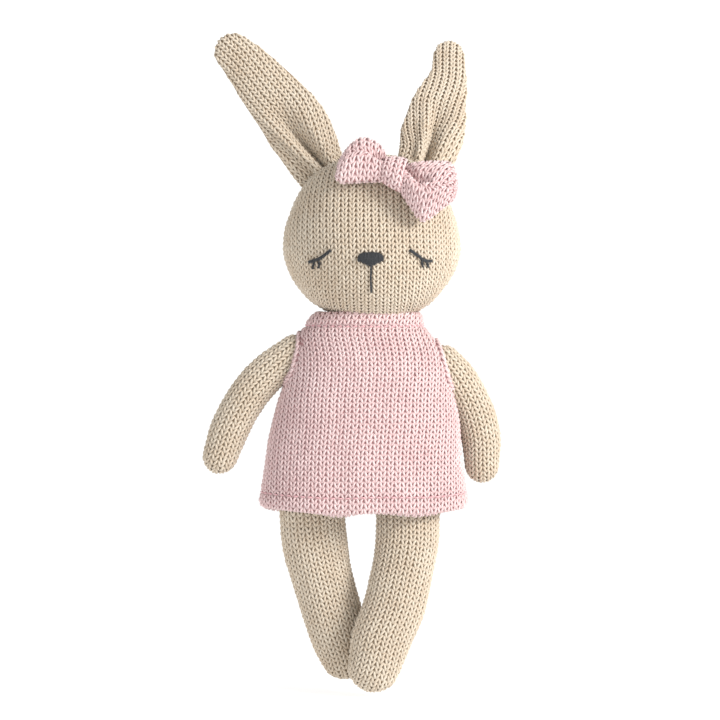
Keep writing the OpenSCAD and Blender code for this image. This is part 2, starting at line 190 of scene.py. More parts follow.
def cloth_mesh(name, grid, material, skip=None):
    """The ground of a knitted piece: a grid of cloth bent to the form, and welded where its edges meet."""
    rows, cols = grid.shape[:2]
    bm = bmesh.new()
    bm.loops.layers.uv.new("OFBake")
    spot = bm.verts.layers.int.new("spot")
    bmesh.ops.create_grid(bm, x_segments=cols - 1, y_segments=rows - 1, size=1, calc_uvs=True)
    for v in bm.verts:
        i, j = round((v.co.x + 1) / 2 * (cols - 1)), round((v.co.y + 1) / 2 * (rows - 1))
        v[spot] = j * cols + i
        v.co = Vector(grid[j, i] * MM)
    if skip is not None:
        gone = [f for f in bm.faces if skip(np.array(f.calc_center_median()) / MM)]
        bmesh.ops.delete(bm, geom=gone, context="FACES")
    bmesh.ops.remove_doubles(bm, verts=bm.verts, dist=2e-6)
    mesh = bpy.data.meshes.new(name)
    bm.to_mesh(mesh)
    bm.free()
    mesh.shade_smooth()
    return shown(name, mesh, [material])


def cloth_trial(name, grid, seams):
    """A light copy of a cover, ready for its filling: its seams are held, and pressure pushes on the rest."""
    trial = cloth_mesh(name + "_trial", grid, beige_ground_painted_shade)
    rows, cols = grid.shape[:2]
    held = trial.vertex_groups.new(name="seams")
    for v, mark in enumerate(trial.data.attributes["spot"].data):
        row, col = divmod(mark.value, cols)
        if col in seams or row in (0, rows - 1):
            held.add([v], 1.0, "REPLACE")
    filling = trial.modifiers.new("filling", "CLOTH")
    cloth = filling.settings
    cloth.quality = 6
    cloth.mass = 0.25
    cloth.tension_stiffness = cloth.compression_stiffness = 12
    cloth.shear_stiffness = 5
    cloth.bending_stiffness = 0.6
    cloth.use_pressure = True
    cloth.uniform_pressure_force = FILL_PRESSURE
    cloth.effector_weights.gravity = 0
    cloth.vertex_group_mass = "seams"
    filling.collision_settings.use_collision = False
    filling.point_cache.frame_end = FILL_FRAMES
    return trial


def moved_by(trial, shape):
    """How far each place of a trial's grid has moved, in mm."""
    now = trial.evaluated_get(bpy.context.evaluated_depsgraph_get()).data
    before, after = (np.zeros(len(trial.data.vertices) * 3, np.float32) for _ in range(2))
    trial.data.vertices.foreach_get("co", before)
    now.vertices.foreach_get("co", after)
    spot = np.zeros(len(trial.data.vertices), np.int32)
    trial.data.attributes["spot"].data.foreach_get("value", spot)
    moved = np.full((shape[0] * shape[1], 3), np.nan)
    moved[spot] = (after - before).reshape(-1, 3) / MM
    moved = moved.reshape(*shape[:2], 3)
    moved[:, 0] = np.where(np.isnan(moved[:, 0]), moved[:, -1], moved[:, 0])
    moved[:, -1] = moved[:, 0]
    return np.nan_to_num(moved)


def filled(covers, most):
    """The covers once they are stuffed: the knit swells between its side seams, by a few mm at most."""
    scene = bpy.context.scene
    trials = {}
    for name, grid in covers.items():
        rows = np.unique(np.r_[np.arange(0, len(grid), 2), len(grid) - 1])
        light = grid[rows][:, ::2]
        quarter = (light.shape[1] - 1) // 4
        trials[name] = (rows, light, cloth_trial(name, light, (quarter, 3 * quarter)))
    for step in range(1, FILL_FRAMES + 1):
        scene.frame_set(step)
    for name, (rows, light, trial) in trials.items():
        grid = covers[name]
        moved = moved_by(trial, light.shape)
        far = np.linalg.norm(moved, axis=2, keepdims=True)
        moved *= most * np.tanh(far / most) / np.maximum(far, 1e-9)
        whole = np.stack([[np.interp(np.arange(len(grid)), rows, moved[:, c, k]) for c in range(light.shape[1])]
                          for k in range(3)], -1).transpose(1, 0, 2)
        cols = np.arange(grid.shape[1])
        covers[name] = grid + np.stack([[np.interp(cols, cols[::2], row[:, k]) for row in whole]
                                        for k in range(3)], -1)
        bpy.data.objects.remove(trial)
    scene.frame_set(1)
    return covers


# ---- Knitting ---------------------------------------------------------------------------

class Cloth:
    """Curved panel of knit. A place on it is asked for in mm: across from its middle, up from its foot."""

    def __init__(self, grid, middle=0.5):
        gaps = np.linalg.norm(np.diff(grid, axis=1), axis=2)
        far = np.concatenate([np.zeros((len(grid), 1)), np.cumsum(gaps, axis=1)], axis=1)
        self.width = np.maximum(far[:, -1], 1e-3)
        self.left = self.width * middle
        cols = grid.shape[1]
        even = np.empty_like(grid)
        for row, line, run in zip(even, grid, far):
            for k in range(3):
                row[:, k] = np.interp(np.linspace(0, run[-1], cols), run, line[:, k])
        self.grid, self.out = even, facing(even)
        self.rise = np.concatenate([[0], np.cumsum(np.linalg.norm(np.diff(even, axis=0), axis=2).mean(1))])
        self.tall = self.rise[-1]

    def edges(self, up):
        """How far the panel reaches to the left and to the right at a height."""
        wide, left = np.interp(up, self.rise, self.width), np.interp(up, self.rise, self.left)
        return left, wide - left

    def at(self, across, up, lift):
        left, right = self.edges(up)
        rows, cols = self.grid.shape[:2]
        j = np.clip(np.interp(up, self.rise, np.arange(rows)), 0, rows - 1.001)
        i = np.clip((across + left) / (left + right), 0, 1) * (cols - 1.001)
        j0, i0 = j.astype(int), i.astype(int)
        b, a = (j - j0)[:, None], (i - i0)[:, None]
        mix = lambda g: ((g[j0, i0] * (1 - a) + g[j0, i0 + 1] * a) * (1 - b)
                         + (g[j0 + 1, i0] * (1 - a) + g[j0 + 1, i0 + 1] * a) * b)
        return mix(self.grid) + unit(mix(self.out)) * lift[:, None]


# Path of the right leg of a V: across, up and off the cloth as shares of a stitch, and thickness
LEG_PATH = [(0.100, -0.80, -1.0, 0.65), (0.115, -0.46, 0.0, 0.95), (0.185, -0.12, 0.5, 1.0),
            (0.290, 0.22, 0.5, 1.0), (0.375, 0.52, 0.0, 0.92), (0.392, 0.80, -1.0, 0.62)]


def yarn_leg(sides, cuts=4):
    """One leg of a V stitch, bent from a short round bar: its places, faces, and twist coordinates."""
    bm = bmesh.new()
    bmesh.ops.create_cone(bm, cap_ends=True, segments=sides, radius1=1, radius2=1, depth=1)
    sloped = [e for e in bm.edges if abs(e.verts[0].co.z - e.verts[1].co.z) > 0.5]
    bmesh.ops.subdivide_edges(bm, edges=sloped, cuts=cuts, use_grid_fill=True)
    bmesh.ops.poke(bm, faces=[f for f in bm.faces if len(f.verts) == sides])
    bm.verts.index_update()
    flat = np.array([v.co for v in bm.verts])
    faces = [[v.index for v in f.verts] for f in bm.faces]
    bm.free()
    share, angle = flat[:, 2] + 0.5, np.arctan2(flat[:, 1], flat[:, 0])
    reach = np.linalg.norm(flat[:, :2], axis=1)
    line = through(LEG_PATH, 8)
    pick = lambda k: np.interp(share, np.linspace(0, 1, len(line)), line[:, k])
    tip = np.where(reach < 0.5, np.sign(share - 0.5) * 0.12, 0)
    round_r = pick(3) * YARN * reach
    places = np.stack([pick(0) * WALE + round_r * np.cos(angle), (pick(1) + tip) * COURSE,
                       pick(2) * YARN + round_r * np.sin(angle) * 0.92], 1)
    twist = np.stack([angle / (2 * math.pi) + 0.5, share], 1)
    return places, faces, twist


def knit(name, panels, material, seed, sides=6, gather=None, keep=None):
    """Real V stitches laid over cloth panels in rows and wales, cut off at the panel's side edges."""
    rng = np.random.default_rng(seed)
    leg, faces, twist = yarn_leg(sides)
    co, uv, tone, plies, loops, sizes = [], [], [], [], [], []
    start = 0
    for number, cloth in enumerate(panels):
        spots = []
        for row in range(int(cloth.tall / COURSE)):
            up = (row + 0.5) * COURSE
            left, right = cloth.edges(up)
            close = gather(up / cloth.tall) if gather else 1.0
            pitch = WALE * close
            for wale in range(math.ceil(-left / pitch - 0.8), math.floor(right / pitch + 0.8)):
                for hand in (-1, 1):
                    across = (wale + 0.5) * pitch
                    middle = across + hand * 0.25 * pitch
                    if -left + 0.1 * pitch < middle < right - 0.1 * pitch:
                        spots.append((across, up, hand, close))
        if not spots:
            continue
        spots = np.array(spots)
        if keep is not None:
            place = cloth.at(spots[:, 0], spots[:, 1], np.zeros(len(spots)))
            spots = spots[keep(place)]
        n, m = len(spots), len(leg)
        across, up, hand, close = (spots[:, k, None] for k in range(4))
        fat = 1 + rng.uniform(-UNEVEN_YARN, UNEVEN_YARN, (n, 1))
        wide = (leg[None, :, 0] + rng.uniform(-UNEVEN_PLACE, UNEVEN_PLACE, (n, 1))) * hand * close
        high = leg[None, :, 1] + rng.uniform(-UNEVEN_ROW, UNEVEN_ROW, (n, 1))
        off = (leg[None, :, 2] * fat * (0.6 + 0.4 * close)
               + rng.uniform(-UNEVEN_PLACE, UNEVEN_PLACE, (n, 1)))
        a, u = (across + wide).ravel(), (up + high).ravel()
        left, right = cloth.edges(u)
        tuck = np.clip(1 - np.minimum(a + left, right - a) / SEAM_TUCK, 0, 1) ** 2
        places = cloth.at(a, np.clip(u, 0, cloth.tall), off.ravel() + YARN * 0.45 - tuck * SEAM_DEPTH)
        co.append(places)
        uv.append(np.stack([a / 400 + 0.25 + 0.5 * number, u / 400], 1))
        tone.append(np.repeat(rng.uniform(0, 1, n), m))
        plies.append(np.tile(twist, (n, 1)))
        flip = (hand[:, 0] < 0)
        for f in faces:
            turned = np.where(flip[:, None], np.array(f[::-1])[None], np.array(f)[None])
            loops.append(turned + (start + np.arange(n) * m)[:, None])
            sizes.append((len(f), n))
        start += n * m
    co, uv, tone, plies = np.vstack(co), np.vstack(uv), np.concatenate(tone), np.vstack(plies)
    index = np.concatenate([l.ravel() for l in loops])
    lengths = np.concatenate([np.full(n, k) for k, n in sizes])
    mesh = bpy.data.meshes.new(name)
    mesh.vertices.add(len(co))
    mesh.vertices.foreach_set("co", (co * MM).astype(np.float32).ravel())
    mesh.loops.add(len(index))
    mesh.loops.foreach_set("vertex_index", index.astype(np.int32))
    mesh.polygons.add(len(lengths))
    mesh.polygons.foreach_set("loop_start", np.concatenate([[0], np.cumsum(lengths)[:-1]]).astype(np.int32))
    mesh.update(calc_edges=True)
    mesh.shade_smooth()
    laid = mesh.uv_layers.new(name="OFBake")
    laid.data.foreach_set("uv", uv[index].astype(np.float32).ravel())
    mesh.attributes.new("tone", "FLOAT", "POINT").data.foreach_set("value", tone.astype(np.float32))
    ply = mesh.attributes.new("ply", "FLOAT_VECTOR", "POINT")
    ply.data.foreach_set("vector", np.c_[plies, tone].astype(np.float32).ravel())
    return shown(name, mesh, [material])


def threads(name, lines, thick, material):
    """Sewing or embroidery threads, each a smooth line of places in mm."""
    line_data = bpy.data.curves.new(name, "CURVE")
    line_data.dimensions = "3D"
    line_data.bevel_depth = thick * MM
    line_data.bevel_resolution = 2
    line_data.use_fill_caps = True
    for places in lines:
        places = np.asarray(places, float) * MM
        run = line_data.splines.new("POLY")
        run.points.add(len(places) - 1)
        run.points.foreach_set("co", np.c_[places, np.ones(len(places))].ravel())
        ends = np.ones(len(places))
        ends[0] = ends[-1] = THREAD_END
        run.points.foreach_set("radius", ends)
    held = bpy.data.objects.new(name + "_line", line_data)
    bpy.context.scene.collection.objects.link(held)
    bpy.context.view_layer.update()
    mesh = bpy.data.meshes.new_from_object(held.evaluated_get(bpy.context.evaluated_depsgraph_get()))
    bpy.data.objects.remove(held)
    mesh.name = name
    mesh.shade_smooth()
    mesh.materials.clear()
    return shown(name, mesh, [material])


# ---- Materials --------------------------------------------------------------------------

def linear(hexed):
    """sRGB hex to linear RGBA."""
    parts = [int(hexed[i:i + 2], 16) / 255 for i in (0, 2, 4)]
    return [p / 12.92 if p <= 0.04045 else ((p + 0.055) / 1.055) ** 2.4 for p in parts] + [1.0]


def add(tree, kind, sockets=None, **settings):
    """Adds a node with its settings, and sets or links its sockets."""
    made = tree.nodes.new(kind)
    for name, value in settings.items():
        setattr(made, name, value)
    for name, value in (sockets or {}).items():
        if isinstance(value, bpy.types.NodeSocket):
            tree.links.new(value, made.inputs[name])
        else:
            made.inputs[name].default_value = value
    return made


def material(name):
    made = bpy.data.materials.new(name)
    made.use_nodes = True
    tree = made.node_tree
    return made, tree, tree.nodes["Principled BSDF"]


def yarn(name, light, mid, deep):
    """Soft acrylic yarn, loosely plied: matt with a pale halo of fibres, and a little uneven in its dye."""
    made, tree, face = material(name)
    place = add(tree, "ShaderNodeTexCoord").outputs["Object"]
    tone = add(tree, "ShaderNodeAttribute", attribute_name="tone").outputs["Fac"]
    ply = add(tree, "ShaderNodeAttribute", attribute_name="ply").outputs["Vector"]
    dye = add(tree, "ShaderNodeTexNoise", {"Vector": place, "Scale": 55.0, "Detail": 3.0})
    shade = add(tree, "ShaderNodeMapRange", {"Value": dye.outputs["Fac"], "From Min": 0.3, "From Max": 0.7})
    both = add(tree, "ShaderNodeMath", {0: shade.outputs["Result"], 1: tone}, operation="ADD")
    half = add(tree, "ShaderNodeMath", {0: both.outputs[0], 1: 0.5}, operation="MULTIPLY")
    colour = add(tree, "ShaderNodeMix", {"Factor": half.outputs[0], "A": linear(mid), "B": linear(light)},
                 data_type="RGBA")
    # Two plies wind round each leg of a stitch, about 1.4 mm apart along it
    twist = add(tree, "ShaderNodeTexWave", {"Vector": add(tree, "ShaderNodeMapping", {
        "Vector": ply, "Scale": (2.0, 3.0, 0.0)}).outputs["Vector"],
        "Scale": 0.5, "Distortion": 1.2, "Detail": 2.0, "Detail Scale": 2.0},
        bands_direction="DIAGONAL")
    fibres = add(tree, "ShaderNodeTexNoise", {"Vector": place, "Scale": 2600.0, "Detail": 2.0})
    # Painted shade: the colour darkens towards the deep colour in the grooves between the plies
    painted_ply_shade = add(tree, "ShaderNodeMapRange", {"Value": twist.outputs["Fac"], "To Min": 0.0, "To Max": 0.3})
    shaded = add(tree, "ShaderNodeMix", {"Factor": painted_ply_shade.outputs["Result"], "A": linear(deep),
                                         "B": colour.outputs["Result"]}, data_type="RGBA")
    mixed = add(tree, "ShaderNodeMix", {"Factor": 0.7, "A": shaded.outputs["Result"],
                                        "B": colour.outputs["Result"]}, data_type="RGBA")
    tree.links.new(mixed.outputs["Result"], face.inputs["Base Color"])
    surface = add(tree, "ShaderNodeMath", {0: twist.outputs["Fac"], 1: fibres.outputs["Fac"]}, operation="ADD")
    bump = add(tree, "ShaderNodeBump", {"Height": surface.outputs[0], "Strength": 0.45, "Distance": 0.0002})
    tree.links.new(bump.outputs["Normal"], face.inputs["Normal"])
    face.inputs["Roughness"].default_value = 0.86
    face.inputs["Sheen Weight"].default_value = 0.35
    face.inputs["Sheen Roughness"].default_value = 0.45
    face.inputs["Specular IOR Level"].default_value = 0.25
    return made


def ground(name, light, deep):
    """The back of the knit, seen only in the small gaps between stitches: matt, and painted darker than the yarn
    as the shade in those gaps.
    """
    made, tree, face = material(name)
    place = add(tree, "ShaderNodeTexCoord").outputs["Object"]
    uneven = add(tree, "ShaderNodeTexNoise", {"Vector": place, "Scale": 900.0, "Detail": 2.0})
    colour = add(tree, "ShaderNodeMix", {"Factor": uneven.outputs["Fac"], "A": linear(deep),
                                         "B": linear(light)}, data_type="RGBA")
    bump = add(tree, "ShaderNodeBump", {"Height": uneven.outputs["Fac"], "Strength": 0.5, "Distance": 0.0004})
    tree.links.new(colour.outputs["Result"], face.inputs["Base Color"])
    tree.links.new(bump.outputs["Normal"], face.inputs["Normal"])
    face.inputs["Roughness"].default_value = 0.95
    face.inputs["Specular IOR Level"].default_value = 0.1
    return made


def sewing_thread(name, light, deep, rough, sheen):
    """Stranded cotton thread: a fine twist, a soft silky gleam along the strands."""
    made, tree, face = material(name)
    place = add(tree, "ShaderNodeTexCoord").outputs["Object"]
    strands = add(tree, "ShaderNodeTexWave", {"Vector": place, "Scale": 900.0, "Distortion": 2.0,
                                              "Detail": 2.0}, bands_direction="DIAGONAL")
    # Painted shade and light: the colour is darker in the grooves between the strands and lighter on their crowns
    colour = add(tree, "ShaderNodeMix", {"Factor": strands.outputs["Fac"], "A": linear(deep),
                                         "B": linear(light)}, data_type="RGBA")
    bump = add(tree, "ShaderNodeBump", {"Height": strands.outputs["Fac"], "Strength": 0.4, "Distance": 0.0002})
    tree.links.new(colour.outputs["Result"], face.inputs["Base Color"])
    tree.links.new(bump.outputs["Normal"], face.inputs["Normal"])
    face.inputs["Roughness"].default_value = rough
    face.inputs["Sheen Weight"].default_value = sheen
    face.inputs["Specular IOR Level"].default_value = 0.35
    return made


def plain_card(name, colour, rough, glow):
    """Matt translucent card lit from behind, for the floor and its backdrop: pale, with hardly any grain."""
    made, tree, face = material(name)
    place = add(tree, "ShaderNodeTexCoord").outputs["Object"]
    grain = add(tree, "ShaderNodeTexNoise", {"Vector": place, "Scale": 400.0})
    bump = add(tree, "ShaderNodeBump", {"Height": grain.outputs["Fac"], "Strength": 0.02, "Distance": 0.0001})
    tree.links.new(bump.outputs["Normal"], face.inputs["Normal"])
    face.inputs["Base Color"].default_value = linear(colour)
    face.inputs["Roughness"].default_value = rough
    face.inputs["Emission Color"].default_value = linear("FFFFFF")
    face.inputs["Emission Strength"].default_value = glow
    return made


# The third colour of each yarn is the painted shade laid into the grooves between its plies
beige_yarn = yarn("acrylic_yarn_oatmeal", "E4DACA", "D2C1AC", "AC9A82")
# The knit grounds are painted darker than their yarns, as the shade in the gaps between stitches
beige_ground_painted_shade = ground("knit_ground_oatmeal_painted_shade", "A5927D", "86745F")
pink_yarn = yarn("acrylic_yarn_pale_pink", "F3DFDE", "DFC2C1", "BE9798")
pink_ground_painted_shade = ground("knit_ground_pink_painted_shade", "C8A0A1", "AB8485")
# The darker colour of each thread is the painted shade in the grooves between its strands
black_thread = sewing_thread("stranded_cotton_charcoal", "34373B", "191B1E", 0.6, 0.2)
beige_thread = sewing_thread("sewing_thread_oatmeal", "CBBBA6", "9C8A75", 0.85, 0.2)
rose_thread = sewing_thread("sewing_thread_rose", "EFC3C7", "D7A0A6", 0.85, 0.25)
pale_card = plain_card("matt_card_white", "C4C4C3", 0.9, 0.72)


# ---- Covers filled with stuffing --------------------------------------------------------

def half_turn(grid):
    """The same tube of cloth, opened at its front in place of its back."""
    middle = grid.shape[1] // 2
    return np.concatenate([grid[:, middle:], grid[:, 1:middle + 1]], axis=1)


def front_and_back(grid):
    """The two panels of a cover, sewn together at its sides."""
    quarter = (grid.shape[1] - 1) // 4
    rear = half_turn(grid)
    return Cloth(grid[:, quarter:-quarter]), Cloth(rear[:, quarter:-quarter])


def stuffed(name, grid, body, nodes, seed, gather=None, split=False):
    """A stuffed knit cover and its stitches, riding on one body and standing for its CAD solids."""
    cover = cloth_mesh(name + "_cover", grid, beige_ground_painted_shade)
    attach(cover, body)
    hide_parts(*nodes)
    front, rear = front_and_back(grid)
    groups = [("_front_stitches", [front]), ("_back_stitches", [rear])] if split else \
        [("_stitches", [front, rear])]
    for k, (ending, panels) in enumerate(groups):
        laid = knit(name + ending, panels, beige_yarn, seed + k, gather=gather)
        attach(laid, body)
    return cover


def leg_form(stations, depth, sway, toe=0.98):
    """A leg from its foot up to its round top, as x, z, half width; sway moves the foot forward or back."""
    top_z = hips[2]
    body = [[x, sway * (top_z - z) / 100, z, w - INSET, (w - INSET) * depth] for x, z, w in stations]
    first, second = np.array(body[0]), np.array(body[1])
    last, before = np.array(body[-1]), np.array(body[-2])
    down = unit((first - second)[:3])
    up = unit((last - before)[:3])
    foot = round_end(first[:3], down, first[3], first[4], first[3] * toe)[::-1][:-1]
    top = round_end(last[:3], up, last[3], last[4], last[3] * 0.9)[1:]
    return form(foot + body + top, around=64)


LEG_DEPTH, LEG_SWAY = 0.8, 12.5     # share of its width, and how far a foot lies forward or back in 100 mm
left_leg = leg_form([(11.4, 17.0, 14.5), (14.0, 25, 16.0), (16.7, 33, 16.7), (21.1, 45, 16.9),
                     (25.0, 58.3, 16.9), (28.0, 71.5, 17.0), (29.6, 84.7, 17.6), (30.7, 98, 17.9),
                     (31.2, 108, 18)], LEG_DEPTH, -LEG_SWAY)
right_leg = leg_form([(-3.5, 19.0, 14.0), (-5.6, 26, 15.4), (-7.9, 33, 16.0), (-11.4, 45, 16.5),
                      (-15.3, 58.3, 16.8), (-18.9, 71.5, 17.1), (-21.4, 84.7, 17.5), (-22.9, 98, 17.9),
                      (-23.2, 108, 18)], LEG_DEPTH, LEG_SWAY, toe=0.8)


def arm_form(start, turns, length, lean, radii):
    """An arm from its round hand up to its round shoulder."""
    line = arc(start, turns, length, lean, len(radii))[::-1]
    radii = radii[::-1]
    body = [[*p, r - INSET, (r - INSET) * 0.94] for p, r in zip(line, radii)]
    down, up = unit(line[0] - line[1]), unit(line[-1] - line[-2])
    hand = round_end(line[0], down, body[0][3], body[0][4], radii[0] * 0.95)[::-1][:-1]
    top = round_end(line[-1], up, body[-1][3], body[-1][4], radii[-1] * 0.8)[1:]
    return form(hand + body + top, around=48)


left_arm = arm_form(pivot("left_arm_lift") - [1.7, 0, 1.8], (134, 183), 63, 0.16,
                    [9.8, 10.8, 11.1, 11.2, 11.0, 10.0])
right_arm = arm_form(pivot("right_arm_lift") + [0, 0, 0.5], (-122.9, -166.2), 72.5, 0.04,
                     [9.8, 10.9, 11.2, 11.2, 10.9, 9.9])

HEAD_X = neck[0] + 0.1
head_rows = [(204.0, 16.5), (206.5, 19.0), (209.5, 23.5), (212.5, 29.0), (217.0, 35.3), (225.5, 42.2), (234, 46.6),
             (243, 48.8), (254, 47.9), (265, 44.2), (273, 41.0), (280.5, 36.6), (287, 30.5), (291.6, 23.0),
             (294.2, 13.5), (295.0, 0.0)]


def head_form():
    rows = [[HEAD_X, 0, z, max(w - INSET, 0), max((w - INSET) * (0.83 + 0.12 * (1 - w / 48.4)), 0)]
            for z, w in head_rows]
    under = [[HEAD_X, 0, 203.0, 0.0, 0.0], [HEAD_X, 0, 203.2, 9.0, 9.0]]
    return form(under + rows, around=96)


head = head_form()


def ear_form(line, halves, thick, tip):
    """A flat ear along a line from its foot, as half widths and half thicknesses."""
    body = [[*p, w - INSET * 0.8, t - INSET * 0.6] for p, w, t in zip(line, halves, thick)]
    up, down = unit(line[-1] - line[-2]), unit(line[0] - line[1])
    top = round_end(line[-1], up, body[-1][3], body[-1][4], tip)[1:]
    base = [[*(line[0] + down * 3.0), body[0][3] * 0.94, body[0][4] * 0.7],
            [*(line[0] + down * 3.6), 0.0, 0.0]][::-1]
    return form(base + body + top, around=64)


def folded(grid, foot, way, across, offset, deep, narrow, tall):
    """Presses a fold into the front of an ear: deepest at its foot, steep on one side, fading upwards."""
    rel = grid - foot
    up, side = rel @ way, rel @ across
    out = facing(grid)
    front = np.clip(-out[..., 1] * 1.5, 0, 1)
    fade = np.clip(1 - up / tall, 0, 1) ** 0.8
    width = narrow * (0.45 + 0.75 * np.clip(up / tall, 0, 1))
    place = (side - offset * np.clip(up / tall, 0, 1.2)) / width
    place = np.where(place > 0, place * 0.62, place * 1.25)
    pressed = grid.copy()
    pressed[..., 1] += front * fade * deep * np.exp(-place ** 2)
    pressed[..., 1] -= front * fade * deep * 0.5 * (np.exp(-(place - 1.7) ** 2) + np.exp(-(place + 1.9) ** 2))
    return pressed


def seated(grid, foot, most, reach):
    """Draws the foot of an ear down on to the slope of the crown, where its hand seam holds it."""
    slope = np.array(head_rows)[::-1]
    crown = np.interp(np.abs(grid[..., 0] - HEAD_X), slope[:, 1], slope[:, 0])
    drop = np.clip(foot[2] - 3.0 - (crown - 3.0), 0, most)
    low = np.clip(1 - (grid[..., 2] - foot[2] + 4.0) / reach, 0, 1) ** 1.5
    lowered = grid.copy()
    lowered[..., 2] -= drop * low
    lowered[..., 0] -= drop * low * 0.35 * np.sign(foot[0] - HEAD_X)
    return lowered


left_foot, right_foot = pivot("left_ear_flop"), pivot("right_ear_flop")
left_line = [[x, left_foot[1] + (z - 295.6) * 0.57, z] for x, z in (
    (39.8, 295.6), (42.9, 305.0), (45.4, 315.0), (48.2, 326.0), (51.7, 336.0), (53.9, 345.0), (54.5, 356.0))]
left_ear = ear_form(np.array(left_line), [15.4, 17.9, 17.8, 16.3, 13.3, 10.8, 9.3],
                    [5.0, 4.8, 4.4, 4.2, 4.0, 3.9, 3.7], 8.5)
EAR_WAY = {}
for side, turn, lean in (("left", 12, 0.57), ("right", -33, 0.08)):
    a = math.radians(turn)
    EAR_WAY[side] = (unit(np.array([math.sin(a), lean, math.cos(a)])), np.array([math.cos(a), 0, -math.sin(a)]))
share = np.linspace(0, 1, 8)[:, None]
right_line = (arc(right_foot, (-32.5, -42), 77.5, 0.08, 8)
              + EAR_WAY["right"][1] * (0.9 * np.sin(math.pi * share) - 1.1 * share ** 3 - 0.8 * (1 - share) ** 4))
right_ear = ear_form(right_line, [14.8, 17.5, 18.3, 18.0, 17.0, 15.5, 13.7, 11.5],
                     [5.0, 4.8, 4.4, 4.2, 4.1, 4.0, 3.9, 3.8], 10.5)
left_ear = folded(left_ear, left_foot - EAR_WAY["left"][0] * 3, *EAR_WAY["left"], 1.5, 8.4, 4.2, 40)
left_ear = seated(left_ear, left_foot, 14.0, 13.0)
right_ear = seated(right_ear, right_foot, 5.0, 9.0)
right_ear = folded(right_ear, right_foot - EAR_WAY["right"][0] * 3, *EAR_WAY["right"], -5.5, 8.8, 4.4, 44)

covers = filled({"left_leg": lumpy(left_leg, 26, 1.2, 1), "right_leg": lumpy(right_leg, 26, 1.2, 2),
                 "left_arm": lumpy(left_arm, 20, 0.8, 3), "right_arm": lumpy(right_arm, 20, 0.8, 4),
                 "head": lumpy(head, 34, 1.4, 5),
                 "left_ear": lumpy(left_ear, 22, 0.7, 6), "right_ear": lumpy(right_ear, 22, 0.7, 7)}, FILL_MOST)

for seed, name in ((11, "left_leg"), (21, "right_leg"), (31, "left_arm"), (41, "right_arm")):
    stuffed(name, covers[name], name, (name + "_skin", name + "_stuffing"), seed)
head_cover = stuffed("head", covers["head"], "head", ("head_skin", "head_stuffing"), 51, split=True,
                     gather=lambda s: 0.86 + 0.14 * math.sin(math.pi * min(1, max(0, s))) ** 0.6)
for seed, name in ((61, "left_ear"), (71, "right_ear")):
    stuffed(name, covers[name], name, (name + "_skin", name + "_wadding"), seed,
            gather=lambda s: min(0.93, 0.72 + 1.1 * s))


# ---- Torso ------------------------------------------------------------------------------

def body_x(z):
    return hips[0] + (neck[0] - hips[0]) * np.clip((z - hips[2]) / (neck[2] - hips[2]), 0, 1)


torso_rows = [(127.2, 0.0, 0.0), (127.4, 20, 10), (128.4, 36, 15), (131.5, 41.5, 18.8), (138, 43.8, 20.6),
              (153, 40, 20.6), (168, 33.4, 20.2), (181, 29, 19.2), (191, 28, 18.4), (197, 25, 17.5),
              (201.2, 18.5, 16), (202.6, 12, 11), (202.8, 0, 0)]
torso = form([[body_x(z), 0, z, w, d] for z, w, d in torso_rows], around=64, step=3)
torso_cover = cloth_mesh("torso_cover", torso, beige_ground_painted_shade)
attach(torso_cover, "torso")
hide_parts("torso_skin", "torso_stuffing")


# ---- Dress ------------------------------------------------------------------------------

# Half widths and depths of the dress's outside at each height, and its sideways place
dress_rows = [(98.8, 56.4, 30.0, 5.2), (104, 57.4, 30.6, 5.4), (114, 56.2, 30.2, 5.5), (124, 55.2, 29.8, 5.9),
              (137, 53.4, 29.2, 6.4), (150, 51.4, 28.6, 7.3), (163, 48.8, 27.6, 7.7), (176, 46.0, 26.2, 8.8),
              (186, 43.3, 24.8, 8.8), (193, 39.6, 23.4, 7.6), (198, 36.0, 22.4, 6.6), (202, 33.2, 21.4, 6.6),
              (204, 31.9, 21.0, 6.9), (209.5, 29.4, 20.4, 8.3)]
dress_heights = np.array(dress_rows)


def dress_ring(z):
    return [np.interp(z, dress_heights[:, 0], dress_heights[:, k]) for k in (3, 1, 2)]


def dress_form():
    """One tube of cloth: turned up inside at the hem, and turned down inside at the neck."""
    profile = [(108.5, 2.4), (104, 2.4), (101.6, 2.3), (100.4, 1.3), (101.6, 0.3), (104, 0.0), (108, 0.0),
               (109.2, 0.7), (110.4, 0.1), (116, 0), (124, 0), (137, 0), (150, 0), (163, 0), (176, 0), (186, 0),
               (193, 0), (198, 0), (200.6, 0.1), (202.0, 1.1), (203.4, -0.5), (206, -1.0), (208.6, -0.5),
               (209.6, 0.6), (208.6, 1.8), (205, 2.2), (202, 2.4)]
    rows = []
    for z, inset in profile:
        x, w, d = dress_ring(z)
        rows.append([x, 0, z, w - INSET - inset, d - INSET - inset])
    line = through(rows, 10)
    turn = np.linspace(-math.pi, math.pi, 145)
    full = 0.94
    across = np.sign(np.sin(turn)) * np.abs(np.sin(turn)) ** full
    off = np.sign(np.cos(turn)) * np.abs(np.cos(turn)) ** full
    x = line[:, 0:1] + line[:, 3:4] * across
    y = -line[:, 4:5] * off
    back = 24.0 - INSET
    y = np.where(y > back - 3, back - 3 + 3 * np.tanh((y - back + 3) / 3), y)
    z = np.repeat(line[:, 2:3], len(turn), axis=1)
    return even_rows(np.stack([x, y, z], 2), 2.0)


